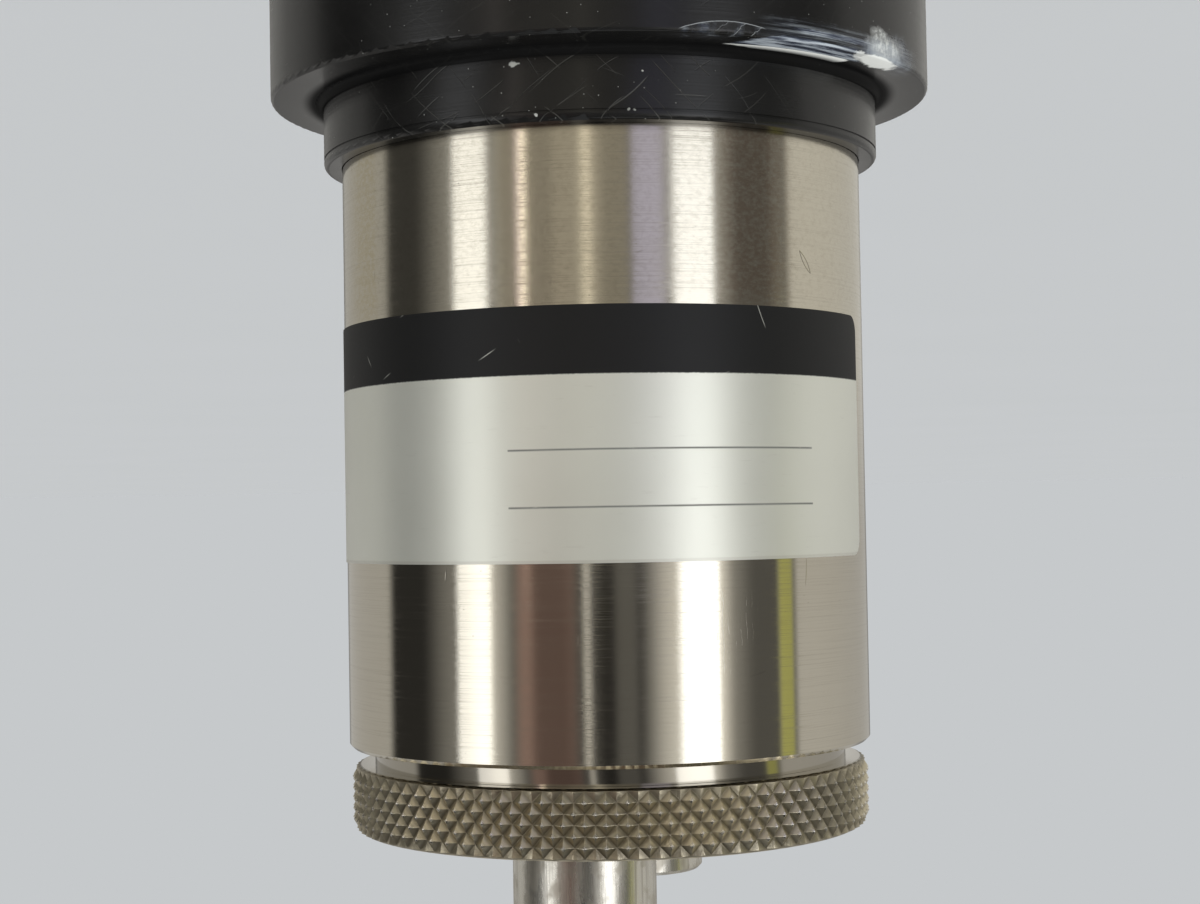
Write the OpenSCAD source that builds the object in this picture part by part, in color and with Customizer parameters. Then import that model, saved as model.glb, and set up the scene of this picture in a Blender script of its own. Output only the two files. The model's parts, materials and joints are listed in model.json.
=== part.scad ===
// Photomultiplier tube in its light-tight case. Millimetres, +Z up.
// The case stands on its window end; the connectors point up.

/* [Vacuum tube] */
// Diameter of the glass bulb
bulb_d = 29; // [28:0.5:31]
// Length of the glass from window to neck end
glass_len = 70.5; // [66:0.5:76]
// Wall of the glass
glass_wall = 1.1; // [0.8:0.1:1.6]
// Thickness of the window
face_t = 1.6; // [1.2:0.1:2.5]
// Bevel around the window's edge
face_bevel = 0.6; // [0.2:0.1:1]
// How far the neck lies inside the bulb's surface
neck_step = 1.6; // [1.3:0.1:2.2]
// Length of the straight neck
neck_len = 6; // [4:0.5:9]
// Length of the sloping shoulder
shoulder_len = 3; // [2:0.5:5]
// Thickness of the glass stem
stem_t = 2.5; // [1.5:0.1:3.5]
// Thickness of the photocathode layer
cathode_t = 0.15; // [0.1:0.05:0.3]

/* [Electrodes] */
// Distance from the window to the focusing electrode
focus_gap = 12; // [9:0.5:14]
// Sheet thickness of the focusing electrode
focus_t = 0.4; // [0.3:0.05:0.8]
// Height of the focusing electrode's skirt
focus_skirt = 3; // [1:0.5:6]
// Diameter of the focusing electrode's opening
focus_hole_d = 9; // [6:0.5:12]
// Number of dynodes
dynode_count = 10; // [8:1:11]
// Step from one dynode to the next along the tube
dynode_pitch = 3.8; // [3.4:0.1:4]
// Radius of a dynode's curve
dynode_r = 3.6; // [3:0.1:3.8]
// Sheet thickness of a dynode
dynode_t = 0.4; // [0.3:0.05:0.6]
// Angle that a dynode's curve spans
dynode_arc = 110; // [90:5:115]
// Tilt of each dynode towards the next
dynode_tilt = 20; // [10:1:25]
// Distance of a dynode's curve centre from the axis
dynode_x = 2; // [1.5:0.1:3]
// Width of the anode grid
anode_w = 4.2; // [3:0.1:4.6]
// Thickness of the anode grid
anode_t = 0.4; // [0.3:0.05:0.6]
// Number of slots in the anode grid
anode_slots = 5; // [3:1:7]
// Width of a slot in the anode grid
anode_slot_w = 1.4; // [0.8:0.1:1.6]
// Rim of the anode grid beside its slots
anode_rim = 0.6; // [0.4:0.1:1]
// How far the support plates run past the anode
plate_tail = 1.2; // [0.5:0.1:2]
// Thickness of a support plate
plate_t = 0.8; // [0.5:0.1:1.2]
// Diameter of a support rod
rod_d = 1; // [0.8:0.1:1.5]
// Distance between the two rods of one plate
rod_spacing = 9; // [7:0.5:11]

/* [Base and socket] */
// Number of places in the pin circle, one of which is left empty
pin_places = 15; // [13:1:15]
// Distance of the pin circle from the stem's edge
pin_margin = 2.3; // [2:0.1:3]
// Diameter of a base pin
pin_d = 1; // [0.8:0.05:1.2]
// Length of the pins behind the base
pin_len = 9; // [7:0.5:10]
// Diameter of a lead in the glass stem
lead_d = 0.6; // [0.4:0.05:0.8]
// How far the leads reach in front of the stem
lead_reach = 2.5; // [1:0.5:5]
// Thickness of the base's floor
base_t = 2; // [1.5:0.1:3]
// Diameter of the base's key post
key_d = 6; // [4:0.5:8]
// Length of the base's key post
key_len = 7; // [5:0.5:9]
// Depth of the socket
socket_t = 9.6; // [9.5:0.1:12]
// Wall of a socket contact around its pin
contact_wall = 0.35; // [0.25:0.05:0.45]
// Floor of a contact behind its pin
contact_floor = 0.3; // [0.2:0.05:0.5]
// Diameter of a contact's solder tail
tail_d = 0.8; // [0.5:0.1:0.9]
// How far the tails stand behind the board
tail_proud = 0.9; // [0.5:0.1:1.5]

/* [Voltage divider] */
// Gap between socket and board
board_gap = 2.5; // [2.2:0.1:4]
// Thickness of the board
board_t = 1.6; // [1:0.1:2.4]
// Angle from a pillar to the first resistor
resistor_first = 22.5; // [20:0.5:26]
// Number of resistors on each side of the pillars
side_resistors = 6; // [4:1:6]
// Diameter of a resistor
resistor_d = 2.4; // [1.8:0.1:2.6]
// Length of a resistor
resistor_len = 6.3; // [4:0.1:8]
// Diameter of a component's wire
wire_d = 0.6; // [0.4:0.05:0.7]
// Distance from a resistor to its returning wire
wire_offset = 2.1; // [1.8:0.1:2.4]
// Distance of the resistors from the board's edge
resistor_margin = 3.2; // [3:0.1:3.4]
// Number of capacitors
capacitor_count = 3; // [1:1:3]
// Diameter of a capacitor
capacitor_d = 7; // [5:0.5:7.5]
// Thickness of a capacitor
capacitor_t = 2.5; // [1.5:0.1:3]
// Step from one capacitor to the next
capacitor_pitch = 4.3; // [3.5:0.1:4.5]
// Height of a capacitor above the board
capacitor_lift = 1.4; // [0.5:0.1:3]
// Diameter of a spacer pillar
pillar_d = 4.5; // [4:0.1:4.8]
// Distance of the pillars from the board's edge
pillar_margin = 4; // [3.6:0.1:4.2]
// Diameter of the pillars' thread
thread_d = 2.4; // [2:0.1:2.6]
// Depth of a thread in pillar or cap
thread_len = 2.4; // [1.5:0.1:3]
// Diameter of a screw head
head_d = 4.2; // [3.6:0.1:4.4]
// Height of a screw head
head_h = 1.5; // [1:0.1:1.8]
// Width of a screw's slot
slot_w = 0.6; // [0.4:0.1:0.8]
// Depth of a screw's slot
slot_depth = 0.6; // [0.4:0.1:0.8]
// Room at the bottom of a threaded hole
thread_room = 0.3; // [0.2:0.1:0.6]
// Diameter of a hook-up wire
hookup_d = 1.1; // [0.8:0.1:1.4]
// How far a connector's wire moves inwards on its way to the board
lead_shift = 2.2; // [1.5:0.1:2.4]
// How far the earth wire moves inwards along the connectors' line
earth_shift = 3; // [2.5:0.1:3.2]
// How far the earth wire moves inwards across the connectors' line
earth_cross = 4.2; // [3.6:0.1:4.6]

/* [Shield and case tube] */
// Wall of the insulating sleeve
sleeve_t = 1; // [0.6:0.1:1.6]
// Wall of the magnetic shield
shield_t = 0.8; // [0.5:0.1:1.4]
// Wall of the case tube
tube_wall = 1.65; // [1.2:0.05:3]
// Length of case tube that shows behind the collar
tube_show = 40.3; // [36:0.1:60]
// Bevel of the case tube's end
tube_bevel = 0.25; // [0.1:0.05:0.5]

/* [Front barrel] */
// Length of the front barrel up to its step
barrel_len = 70; // [66:1:90]
// Wall of the front barrel around the case tube
barrel_wall = 4.85; // [3.6:0.05:8]
// Length of the collar behind the step
collar_len = 4.6; // [3:0.1:10]
// Wall of the collar around the case tube
collar_wall = 1.2; // [0.9:0.05:3]
// Thickness of the lip in front of the window
lip_t = 4; // [2.5:0.5:6]
// How far the lip covers the window's edge
window_lap = 2.2; // [1.8:0.1:4]
// Rounding of the barrel's outer edges
barrel_round = 0.3; // [0.2:0.1:1.5]
// Fillet where the collar leaves the step
root_round = 0.6; // [0.1:0.1:0.9]
// Rounding of the collar's end
collar_round = 0.35; // [0.1:0.05:0.4]
// Distance of the turned line from the collar's end
line_inset = 0.5; // [0.45:0.05:1.5]
// Width of the turned line
line_w = 0.15; // [0.1:0.05:0.5]
// Depth of the turned line
line_depth = 0.1; // [0.05:0.05:0.3]
// Thickness of the window gasket
gasket_t = 1.5; // [1:0.1:2.5]
// How far the gasket is set back from the light port
gasket_set = 0.4; // [0.2:0.1:0.8]

/* [Rear cap] */
// How far the cap reaches into the case tube
spigot_len = 11; // [9:0.5:14]
// Gap between case tube and knurled rim
neck_gap = 1.25; // [0.5:0.05:3]
// Wall of the cap's spigot
spigot_wall = 1.5; // [1:0.1:1.8]
// Thickness of the connector panel
panel_t = 4.5; // [4:0.1:5.5]
// Depth of the recess around the connectors
recess_depth = 5; // [3:0.1:5.5]
// Height of the knurled rim
rim_h = 4.5; // [4:0.1:8]
// Wall of the rim inside the knurl
rim_wall = 2.2; // [1.5:0.1:2.5]
// How far the knurl's points lie inside the case tube's surface
rim_step = 0.15; // [0:0.05:0.6]

/* [Knurl] */
// Width of one diamond around the rim
knurl_pitch = 1.37; // [1:0.01:2.4]
// Depth of the knurl
knurl_depth = 0.44; // [0.2:0.02:0.6]
// Rows of points along the rim
knurl_points = 5; // [3:1:7]
// Plain bevel at each edge of the knurl
knurl_land = 0.15; // [0.1:0.05:0.5]
// Height that the bevels leave of the points they cut
knurl_stub = 0.18; // [0.02:0.02:0.2]

/* [Seals] */
// Thickness of the cap's sealing ring
cap_seal_d = 1.3; // [1:0.1:1.3]
// Thickness of the collar's sealing ring
collar_seal_d = 1.8; // [1.2:0.1:2.2]
// Distance of the cap's seal from the panel's inner face
cap_seal_inset = 0.5; // [0.3:0.1:0.8]
// Distance of the collar's seal from the barrel's step
collar_seal_inset = 3; // [2:0.1:6]

/* [Connectors] */
// Distance between the two connectors
jack_spread = 15.3; // [14.6:0.1:15.8]
// Turn of the signal connector around the case
jack_turn = -76; // [-90:1:90]
// Diameter of a connector's barrel
jack_d = 9.6; // [9:0.1:10]
// Height of the mouth above the rim
jack_proud = 5.2; // [4:0.1:8]
// How much lower the high-voltage connector's mouth is
hv_drop = 0.7; // [0:0.1:1.2]
// Bore of the mouth
jack_bore_d = 8.1; // [7.6:0.1:8.3]
// Depth of the mouth
jack_depth = 8.2; // [6:0.1:8.4]
// Diameter of the connector's flange
flange_d = 12.6; // [11:0.1:13]
// Thickness of the connector's flange
flange_t = 1.5; // [1:0.1:2.2]
// Diameter of the connector's shank
shank_d = 9.4; // [8:0.1:9.6]
// Length of the connector's shank
shank_len = 8.5; // [8.3:0.1:10]
// Bevel of the mouth's edges
mouth_bevel = 0.25; // [0.1:0.05:0.35]
// Diameter of a bayonet lug
lug_d = 2; // [1.5:0.1:2.4]
// How far a lug stands out
lug_proud = 0.7; // [0.4:0.1:0.9]
// Distance of the lugs from the mouth
lug_inset = 5; // [3.5:0.1:6]
// Diameter of the insulator in the shank
insulator_d = 6.5; // [5.5:0.1:6.8]
// How far the insulator stands behind the shank
insulator_tail = 1.2; // [0.5:0.1:2]
// Diameter of a centre contact
contact_d = 2.2; // [1.8:0.1:2.4]
// Length of a centre contact's solder tail
contact_tail = 3; // [2:0.1:4]
// Wall of the signal insulator's nose around its contact
signal_nose_wall = 1.3; // [0.8:0.1:1.7]
// How far the signal insulator's nose stands above its contact
signal_nose = 0.6; // [0.3:0.1:0.9]
// Depth of the signal contact in its mouth
signal_inset = 2; // [1:0.1:3]
// Wall of the high-voltage insulator's nose
hv_nose_wall = 1.4; // [0.8:0.1:1.6]
// Depth of the high-voltage contact in its mouth
hv_inset = 6.5; // [4:0.1:7]
// Diameter of the hole in a centre contact
contact_hole_d = 1.1; // [0.8:0.1:1.3]
// Depth of the hole in a centre contact
contact_hole_depth = 4; // [2:0.5:5]
// Wall of a fixing nut
nut_wall = 1.6; // [1.3:0.05:1.7]
// Thickness of a fixing nut
nut_t = 2.4; // [1.8:0.1:2.6]
// Wall of a tag washer
washer_wall = 1.9; // [1.4:0.1:2]
// Thickness of a tag washer
washer_t = 0.5; // [0.3:0.1:0.8]
// Width of the tag
tag_w = 2.6; // [1.5:0.1:3]
// Reach of the tag from the connector's axis
tag_reach = 9.8; // [9.4:0.1:10.2]

/* [Label] */
// Width of the label around the case tube
label_w = 70; // [20:1:90]
// Height of the label
label_h = 16.15; // [8:0.05:24]
// Thickness of the label
label_t = 0.08; // [0.05:0.01:0.2]
// Distance of the label from the collar
label_gap = 11.35; // [2:0.05:14]
// Rounding of the label's corners
label_round = 1.2; // [0.4:0.1:3]
// Angle around the case at which the label starts
label_turn = 201; // [0:1:359]

/* [Clearances] */
// Radial slip between parts that slide into each other
slip = 0.1; // [0.05:0.01:0.15]
// Radial play of parts that are pressed or fused together
seat = 0.03; // [0.01:0.01:0.06]
// Gap between the electrode cage and the glass
cage_gap = 1; // [0.6:0.1:1.6]
// Gap between base and socket
socket_gap = 0.2; // [0.1:0.05:0.4]

/* [Output] */
// Sub-part to draw, or all

/* [Hidden] */
$fn = 96;
// How far a cutter reaches past the face it cuts
cut = 1;
// How far joined bodies run into each other
join = 0.5;

// Radii from the glass outwards
bulb_r = bulb_d / 2;
glass_ir = bulb_r - glass_wall;
neck_r = bulb_r - neck_step;
stem_r = neck_r - glass_wall - seat;
pin_circle_r = stem_r - pin_margin;
sleeve_ir = bulb_r + slip;
sleeve_r = sleeve_ir + sleeve_t;
shield_ir = sleeve_r + slip;
shield_r = shield_ir + shield_t;
tube_ir = shield_r + slip;
tube_r = tube_ir + tube_wall;
bore_r = tube_r + slip / 2;
collar_r = bore_r + collar_wall;
barrel_r = bore_r + barrel_wall;
port_r = bulb_r - window_lap;
board_r = shield_ir - slip;
spigot_r = tube_ir - slip;
spigot_ir = spigot_r - spigot_wall;
rim_r = tube_r - rim_step;
valley_r = rim_r - knurl_depth;
recess_r = valley_r - rim_wall;

// Levels from the window end upwards
glass_z = lip_t + gasket_t;
window_z = glass_z + face_t;
glass_end_z = glass_z + glass_len;
shoulder_z = glass_end_z - neck_len - shoulder_len;
stem_z = glass_end_z - stem_t;
focus_z = window_z + focus_gap;
cage_z = focus_z + focus_t;
anode_z = cage_z + (dynode_count + 1) * dynode_pitch;
cage_len = anode_z + anode_t + plate_tail - cage_z;
base_z = glass_end_z - neck_len + socket_gap;
pin_z = glass_end_z + seat;
base_end_z = pin_z + base_t;
socket_z = base_end_z + socket_gap;
socket_end_z = socket_z + socket_t;
board_z = socket_end_z + board_gap;
board_end_z = board_z + board_t;
step_z = barrel_len;
collar_z = barrel_len + collar_len;
tube_end_z = collar_z + tube_show;
spigot_z = tube_end_z - spigot_len;
rim_z = tube_end_z + neck_gap;
rim_end_z = rim_z + rim_h;
recess_z = rim_end_z - recess_depth;
panel_z = recess_z - panel_t;
jack_len = rim_end_z + jack_proud - recess_z;
hv_len = jack_len - hv_drop;
washer_z = panel_z - washer_t;
nut_z = washer_z - nut_t;
jack_tail_z = recess_z - shank_len - insulator_tail - contact_tail;

// Electrode cage, whose corners keep the cage gap from the glass
cage_half = (glass_ir - cage_gap) / sqrt(2);
cage_inner = cage_half - plate_t;
rod_y = cage_half + rod_d / 2 + seat;

// Knurl, with a whole number of diamonds around the rim
knurl_n = round(2 * PI * rim_r / knurl_pitch);
knurl_rows = knurl_points + 1;
knurl_step = (rim_h - 2 * knurl_land) / knurl_rows;

pin_step = 360 / pin_places;
pillar_x = board_r - pillar_margin;
resistor_ring_r = board_r - resistor_margin;
nut_af = shank_d + 2 * nut_wall;
hookup_path_steps = 10;
hookup_sides = 10;

module ring(inner_r, outer_r, z, height) {
  rotate_extrude() translate([inner_r, z]) square([outer_r - inner_r, height]);
}

// Waste outside a rounded corner at the origin of a profile
module corner_waste(radius) {
  difference() {
    translate([-radius, -radius]) square(2 * radius);
    translate([-radius, -radius]) circle(radius);
  }
}

// Fillet in an inner corner at the origin of a profile
module corner_fill(radius) {
  difference() {
    translate([-join, -join]) square(radius + join);
    translate([radius, radius]) circle(radius);
  }
}

module front_barrel() {
  groove_r = tube_r + collar_seal_d + 2 * seat;
  groove_w = collar_seal_d + 2 * slip;
  color("#1c1c1d")
  rotate_extrude() difference() {
    union() {
      translate([port_r, 0]) square([barrel_r - port_r, step_z]);
      translate([bore_r, 0]) square([collar_r - bore_r, collar_z]);
      translate([collar_r, step_z]) corner_fill(root_round);
    }
    translate([0, lip_t]) square([bore_r, collar_z]);
    translate([0, step_z - collar_seal_inset - groove_w]) square([groove_r, groove_w]);
    translate([collar_r - line_depth, collar_z - line_inset - line_w]) square([collar_r, line_w]);
    translate([barrel_r, step_z]) corner_waste(barrel_round);
    translate([barrel_r, 0]) mirror([0, 1]) corner_waste(barrel_round);
    translate([collar_r, collar_z]) corner_waste(collar_round);
  }
}

module window_gasket() {
  color("#2a2a2a") ring(port_r + gasket_set, spigot_r, lip_t, gasket_t);
}

module case_tube() {
  color("#b9b6b0")
  rotate_extrude() polygon([
    [tube_ir, lip_t], [tube_r, lip_t], [tube_r, tube_end_z - tube_bevel],
    [tube_r - tube_bevel, tube_end_z], [tube_ir, tube_end_z]
  ]);
}

module collar_seal() {
  groove_w = collar_seal_d + 2 * slip;
  color("#151515")
  rotate_extrude()
    translate([tube_r + seat + collar_seal_d / 2, step_z - collar_seal_inset - groove_w / 2])
      circle(d = collar_seal_d);
}

// Cuts one rounded corner of the label; side and up pick which one
module label_corner(angle, z, side, up) {
  rotate([0, 0, angle]) translate([0, 0, z])
    mirror([0, side < 0 ? 1 : 0, 0]) mirror([0, 0, up < 0 ? 1 : 0])
      rotate([90, 0, 90]) linear_extrude(2 * tube_r) corner_waste(label_round);
}

module id_label() {
  span = label_w / tube_r * 180 / PI;
  low_z = collar_z + label_gap;
  high_z = low_z + label_h;
  color("#c9c9c6")
  rotate([0, 0, label_turn]) difference() {
    rotate_extrude(angle = span) translate([tube_r, low_z]) square([label_t, label_h]);
    label_corner(0, low_z, -1, -1);
    label_corner(0, high_z, -1, 1);
    label_corner(span, low_z, 1, -1);
    label_corner(span, high_z, 1, 1);
  }
}

module magnetic_shield() {
  color("#8f9194") ring(shield_ir, shield_r, glass_z, spigot_z - glass_z);
}

module insulating_sleeve() {
  color("#7a4a26") ring(sleeve_ir, sleeve_r, glass_z, board_z - glass_z);
}

// One level of points around the knurl; every other point is raised, less so on the outer rows
function knurl_level(row) = [
  for (i = [0:2 * knurl_n - 1])
    let (
      bevel = row < 0 || row > knurl_rows,
      crest = row > 0 && row < knurl_rows ? rim_r : valley_r + knurl_stub,
      radius = bevel ? valley_r - knurl_land : (i + row) % 2 == 0 ? crest : valley_r,
      z = row < 0 ? 0 : row > knurl_rows ? rim_h : knurl_land + row * knurl_step,
      angle = 180 * i / knurl_n
    )
    [radius * cos(angle), radius * sin(angle), z]
];

// Two triangles of one cell, split between its low corners
function knurl_cell(i, level) =
  let (
    w = 2 * knurl_n,
    a = level * w + i, b = level * w + (i + 1) % w, c = b + w, d = a + w
  )
  (i + level) % 2 == 1 ? [[a, d, b], [b, d, c]] : [[a, d, c], [a, c, b]];

module knurled_disc() {
  w = 2 * knurl_n;
  levels = knurl_rows + 3;
  polyhedron(
    points = [for (row = [-1:knurl_rows + 1]) each knurl_level(row)],
    faces = [
      [for (i = [0:w - 1]) i],
      for (level = [0:levels - 2], i = [0:w - 1]) each knurl_cell(i, level),
      [for (i = [w - 1:-1:0]) (levels - 1) * w + i]
    ]
  );
}

// Places children at a connector's seat: 0 is the signal one, 1 the high-voltage one
module at_jack(which) {
  rotate([0, 0, jack_turn + 180 * which]) translate([jack_spread / 2, 0, recess_z]) children();
}

// Places children on the line of the two pillars
module at_pillars() {
  for (side = [0, 1])
    rotate([0, 0, jack_turn + 90 + 180 * side]) translate([pillar_x, 0, 0]) children();
}

module rear_cap() {
  groove_w = cap_seal_d + 2 * slip;
  groove_r = tube_ir - cap_seal_d - 2 * seat;
  color("#8d877c")
  difference() {
    union() {
      translate([0, 0, rim_z]) knurled_disc();
      translate([0, 0, spigot_z]) cylinder(r = spigot_r, h = rim_z + join - spigot_z);
    }
    translate([0, 0, recess_z]) cylinder(r = recess_r, h = recess_depth + cut);
    translate([0, 0, spigot_z - cut]) cylinder(r = spigot_ir, h = panel_z - spigot_z + cut);
    ring(groove_r, tube_r, panel_z + cap_seal_inset, groove_w);
    for (which = [0, 1])
      at_jack(which) translate([0, 0, -panel_t - cut])
        cylinder(d = shank_d + 2 * slip, h = panel_t + 2 * cut);
    at_pillars() translate([0, 0, panel_z - cut])
      cylinder(d = thread_d + 2 * slip, h = thread_len + thread_room + cut);
  }
}

module cap_seal() {
  groove_w = cap_seal_d + 2 * slip;
  color("#151515")
  rotate_extrude()
    translate([tube_ir - seat - cap_seal_d / 2, panel_z + cap_seal_inset + groove_w / 2])
      circle(d = cap_seal_d);
}

module glass_envelope() {
  color("#bcd3d6")
  rotate_extrude() polygon([
    [0, glass_z], [bulb_r - face_bevel, glass_z], [bulb_r, glass_z + face_bevel],
    [bulb_r, shoulder_z], [neck_r, shoulder_z + shoulder_len], [neck_r, glass_end_z],
    [neck_r - glass_wall, glass_end_z], [neck_r - glass_wall, shoulder_z + shoulder_len],
    [glass_ir, shoulder_z], [glass_ir, window_z], [0, window_z]
  ]);
}

// Places children at every pin of the circle; the place in line with a pillar stays empty
module at_pins() {
  for (i = [1:pin_places - 1])
    rotate([0, 0, jack_turn + 90 + i * pin_step]) translate([pin_circle_r, 0, 0]) children();
}

module glass_stem() {
  color("#a9c4c8")
  difference() {
    translate([0, 0, stem_z]) cylinder(r = stem_r, h = stem_t);
    at_pins() translate([0, 0, stem_z - cut]) cylinder(d = lead_d + 2 * seat, h = stem_t + 2 * cut);
  }
}

module photocathode() {
  color("#6b5a3a") translate([0, 0, window_z]) cylinder(r = port_r, h = cathode_t);
}

module focus_electrode() {
  outer_r = glass_ir - cage_gap / 2;
  color("#a7a9ab")
  difference() {
    translate([0, 0, focus_z - focus_skirt]) cylinder(r = outer_r, h = focus_skirt + focus_t);
    translate([0, 0, focus_z - focus_skirt - cut])
      cylinder(r = outer_r - focus_t, h = focus_skirt + cut);
    translate([0, 0, focus_z - cut]) cylinder(d = focus_hole_d, h = focus_t + 2 * cut);
  }
}

// Curved plates stand left and right of the axis by turns
module dynode(number) {
  side = number % 2 == 1 ? 1 : -1;
  width = 2 * (cage_inner - seat);
  color("#9fa3a6")
  translate([side * dynode_x, 0, cage_z + number * dynode_pitch])
    mirror([side < 0 ? 1 : 0, 0, 0])
      rotate([90, 0, 0]) rotate([0, 0, dynode_tilt - dynode_arc / 2])
        translate([0, 0, -width / 2]) rotate_extrude(angle = dynode_arc)
          translate([dynode_r - dynode_t / 2, 0]) square([dynode_t, width]);
}

module anode_grid() {
  depth = 2 * (cage_inner - seat);
  slot_step = depth / (anode_slots + 0.5);
  color("#c2b58c")
  translate([0, 0, anode_z]) difference() {
    translate([-anode_w / 2, -depth / 2, 0]) cube([anode_w, depth, anode_t]);
    for (i = [0:anode_slots - 1])
      translate([0, (i - (anode_slots - 1) / 2) * slot_step, anode_t / 2])
        cube([anode_w - 2 * anode_rim, anode_slot_w, anode_t + cut], center = true);
  }
}

module support_plate() {
  translate([-cage_half, cage_inner, cage_z]) cube([2 * cage_half, plate_t, cage_len]);
}

module support_plate_left() {
  color("#dcd8c8") support_plate();
}

module support_plate_right() {
  color("#dcd8c8") mirror([0, 1, 0]) support_plate();
}

module support_rods() {
  color("#b0b2b4")
  for (x = [-1, 1], y = [-1, 1])
    translate([x * rod_spacing / 2, y * rod_y, cage_z]) cylinder(d = rod_d, h = stem_z - cage_z);
}

module stem_leads() {
  color("#b8a46a")
  at_pins() translate([0, 0, stem_z - lead_reach])
    cylinder(d = lead_d, h = pin_z - stem_z + lead_reach);
}

module tube_base() {
  color("#262422")
  difference() {
    union() {
      translate([0, 0, base_z]) cylinder(r = bulb_r, h = base_end_z - base_z);
      translate([0, 0, base_end_z - join]) cylinder(d = key_d, h = key_len + join);
    }
    translate([0, 0, base_z - cut]) cylinder(r = neck_r + slip, h = pin_z - base_z + cut);
    at_pins() translate([0, 0, pin_z - cut]) cylinder(d = pin_d + 2 * seat, h = base_t + 2 * cut);
  }
}

module base_pins() {
  color("#c8b26a")
  at_pins() translate([0, 0, pin_z]) cylinder(d = pin_d, h = base_t + pin_len);
}

module tube_socket() {
  body_d = pin_d + 2 * seat + 2 * contact_wall;
  color("#3a2a20")
  difference() {
    translate([0, 0, socket_z]) cylinder(r = bulb_r - slip, h = socket_t);
    translate([0, 0, socket_z - cut]) cylinder(d = key_d + 2 * slip, h = socket_t + 2 * cut);
    at_pins() translate([0, 0, socket_z - cut])
      cylinder(d = body_d + 2 * seat, h = socket_t + 2 * cut);
  }
}

module socket_contacts() {
  bore_d = pin_d + 2 * seat;
  color("#d3c38a")
  at_pins() difference() {
    union() {
      translate([0, 0, socket_z]) cylinder(d = bore_d + 2 * contact_wall, h = socket_t);
      translate([0, 0, socket_end_z - contact_floor])
        cylinder(d = tail_d, h = board_end_z + tail_proud - socket_end_z + contact_floor);
    }
    translate([0, 0, socket_z - cut]) cylinder(d = bore_d, h = socket_t - contact_floor + cut);
  }
}

module divider_board() {
  color("#3c6b45")
  difference() {
    translate([0, 0, board_z]) cylinder(r = board_r, h = board_t);
    at_pins() translate([0, 0, board_z - cut]) cylinder(d = tail_d + 2 * seat, h = board_t + 2 * cut);
    at_pillars() translate([0, 0, board_z - cut])
      cylinder(d = thread_d + 2 * slip, h = board_t + 2 * cut);
  }
}

// A resistor on end, with its upper wire led back down to the board
module resistor() {
  top = resistor_len + wire_d;
  cylinder(d = resistor_d, h = resistor_len);
  cylinder(d = wire_d, h = top);
  translate([0, wire_offset, 0]) cylinder(d = wire_d, h = top);
  translate([0, -wire_d / 2, top]) rotate([-90, 0, 0]) cylinder(d = wire_d, h = wire_offset + wire_d);
}

module divider_resistors() {
  spread = (180 - 2 * resistor_first) / (side_resistors - 1);
  color("#b59a6d")
  for (side = [0, 1], i = [0:side_resistors - 1])
    rotate([0, 0, jack_turn + 90 + 180 * side + resistor_first + i * spread])
      translate([resistor_ring_r, 0, board_end_z]) resistor();
}

module capacitor() {
  translate([0, capacitor_t / 2, capacitor_lift + capacitor_d / 2])
    rotate([90, 0, 0]) cylinder(d = capacitor_d, h = capacitor_t);
  for (x = [-1, 1])
    translate([x * capacitor_d / 4, 0, 0]) cylinder(d = wire_d, h = capacitor_lift + capacitor_d / 2);
}

module decoupling_capacitors() {
  color("#c07a34")
  rotate([0, 0, jack_turn])
    for (i = [0:capacitor_count - 1])
      translate([0, (i - (capacitor_count - 1) / 2) * capacitor_pitch, board_end_z]) capacitor();
}

module spacer_pillars() {
  screw_depth = 2 * thread_len;
  color("#c9b56e")
  at_pillars() difference() {
    union() {
      translate([0, 0, board_end_z]) cylinder(d = pillar_d, h = panel_z - board_end_z);
      translate([0, 0, panel_z - join]) cylinder(d = thread_d, h = thread_len + join);
    }
    translate([0, 0, board_end_z - cut])
      cylinder(d = thread_d + 2 * seat, h = screw_depth + thread_room + cut);
  }
}

module board_screws() {
  color("#b4b6b8")
  at_pillars() difference() {
    union() {
      translate([0, 0, board_z - head_h]) cylinder(d = head_d, h = head_h);
      translate([0, 0, board_z - head_h / 2])
        cylinder(d = thread_d, h = head_h / 2 + board_t + 2 * thread_len);
    }
    translate([-head_d, -slot_w / 2, board_z - head_h - cut]) cube([2 * head_d, slot_w, slot_depth + cut]);
  }
}

module jack_body(length) {
  barrel = jack_d / 2;
  bore = jack_bore_d / 2;
  core = insulator_d / 2 + seat;
  color("#aaa79f") {
    rotate_extrude() polygon([
      [core, -shank_len], [shank_d / 2, -shank_len], [shank_d / 2, 0],
      [flange_d / 2, 0], [flange_d / 2, flange_t], [barrel, flange_t],
      [barrel, length - mouth_bevel], [barrel - mouth_bevel, length],
      [bore + mouth_bevel, length], [bore, length - mouth_bevel],
      [bore, length - jack_depth], [core, length - jack_depth]
    ]);
    for (side = [0, 180])
      rotate([0, 0, 90 + side]) translate([(bore + barrel) / 2, 0, length - lug_inset])
        rotate([0, 90, 0]) cylinder(d = lug_d, h = (barrel - bore) / 2 + lug_proud);
  }
}

module signal_jack() {
  at_jack(0) jack_body(jack_len);
}

module hv_jack() {
  at_jack(1) jack_body(hv_len);
}

module signal_insulator() {
  core = contact_d / 2 + seat;
  color("#ece8dc")
  at_jack(0) rotate_extrude() polygon([
    [core, -shank_len - insulator_tail], [insulator_d / 2, -shank_len - insulator_tail],
    [insulator_d / 2, jack_len - jack_depth], [core + signal_nose_wall, jack_len - jack_depth],
    [core + signal_nose_wall, jack_len - signal_inset + signal_nose],
    [core, jack_len - signal_inset + signal_nose]
  ]);
}

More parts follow.
